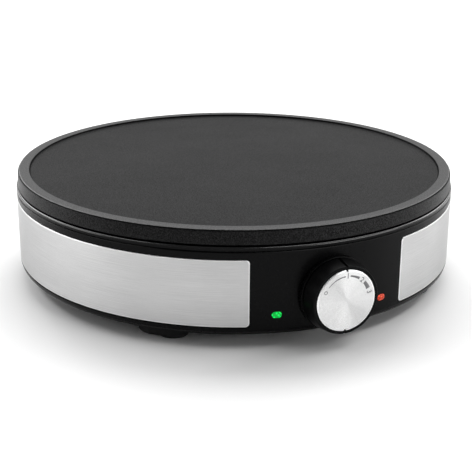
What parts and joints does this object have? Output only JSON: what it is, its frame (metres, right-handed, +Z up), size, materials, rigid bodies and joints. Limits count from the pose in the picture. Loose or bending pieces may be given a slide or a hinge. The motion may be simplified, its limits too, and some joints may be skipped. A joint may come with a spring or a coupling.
{
  "type": "electric crepe maker",
  "caption": "Countertop electric crepe maker: round non-stick cooking plate on a low drum base with curved steel side panels, a rotary heat knob and signal lamps.",
  "frame": {"origin": "the plane that the four feet stand on, on the axis of the round cooking plate", "axes": "+Z up along the plate axis; the heat knob faces -Y; the cord entry faces +Y; +X is to the right of the knob as its user sees it"},
  "size_m": [0.315, 0.3339, 0.0785],
  "materials": {
    "black_housing": "black heat-resistant plastic, satin gloss",
    "black_knob": "black plastic, satin",
    "black_trim": "black, satin gloss, rounded top edge",
    "black_underside": "black plastic, fine grain",
    "brass": "stamped brass",
    "brushed_panel": "stainless sheet, brushed along its length, bright edge, bare",
    "ceramic_white": "steatite, matt white",
    "copper_bulb": "drawn copper",
    "element_sheath": "heat-tinted steel sheath",
    "lamp_glass": "small neon lamp",
    "lead_blue": "blue insulated lead",
    "lead_brown": "brown insulated lead",
    "lead_earth": "green and yellow insulated lead",
    "lead_white": "white glass-fibre sleeved leads",
    "lens_green": "clear green signal lens, lit",
    "lens_red": "clear red signal lens, lit",
    "nonstick_plate": "cast aluminium with a fine-grained matt black non-stick coating",
    "phenolic": "dark brown phenolic",
    "plated_steel": "zinc plated",
    "rubber": "black rubber",
    "shield_aluminium": "mill-finish sheet",
    "spun_steel": "circular-brushed disc with a bright chamfered edge and printed heat marks"
  },
  "bodies": {
    "base": {"base_housing": "black_housing", "base_ring": "black_trim", "block_screws": "plated_steel", "bottom_cover": "black_underside", "bulb_clips": "plated_steel", "capillary_tube": "copper_bulb", "clip_screws": "plated_steel", "cooking_plate": "nonstick_plate", "cord_gland": "black_underside", "cover_screws": "plated_steel", "earth_lug": "brass", "earth_screw": "plated_steel", "element_insulators": "ceramic_white", "fuse_clip": "plated_steel", "gland_nut": "black_underside", "heat_shield": "shield_aluminium", "heater_terminals": "plated_steel", "heating_element": "element_sheath", "knob_collar": "black_housing", "lamp_holders": "black_underside", "lamp_leads": "lead_white", "lamp_lens_green": "lens_green", "lamp_lens_red": "lens_red", "lead_earth": "lead_earth", "lead_fused": "lead_brown", "lead_live": "lead_brown", "lead_neutral": "lead_blue", "lead_switched": "lead_brown", "neon_lamps": "lamp_glass", "panel_nuts": "plated_steel", "plate_screws": "plated_steel", "plate_standoffs": "plated_steel", "rubber_feet": "rubber", "sensor_bulb": "copper_bulb", "steel_panel_left": "brushed_panel", "steel_panel_right": "brushed_panel", "terminal_block": "ceramic_white", "terminal_clamps": "brass", "terminal_screws": "plated_steel", "thermal_fuse": "plated_steel", "thermostat_base": "phenolic", "thermostat_case": "plated_steel", "thermostat_contacts": "brass", "thermostat_nut": "plated_steel", "thermostat_tabs": "brass"},
    "knob": {"knob_body": "black_knob", "knob_disc": "spun_steel", "knob_clip": "plated_steel", "thermostat_shaft": "plated_steel"},
    "diaphragm": {"thermostat_diaphragm": "plated_steel"}
  },
  "joints": [
    {"name": "heat_knob_turn", "type": "hinge", "parent": "base", "child": "knob", "pos_m": [0, -0.16, 0.0344], "axis": [0, -1, 0], "range_deg": [-63, 77]},
    {"name": "diaphragm_feed", "type": "slide", "parent": "base", "child": "diaphragm", "axis": [0, -1, 0], "range_m": [-0.0002, 0.0002]}
  ],
  "couplings": [
    {"joint": "diaphragm_feed", "follows": "heat_knob_turn", "m_per_rad": -0.00011937}
  ]
}
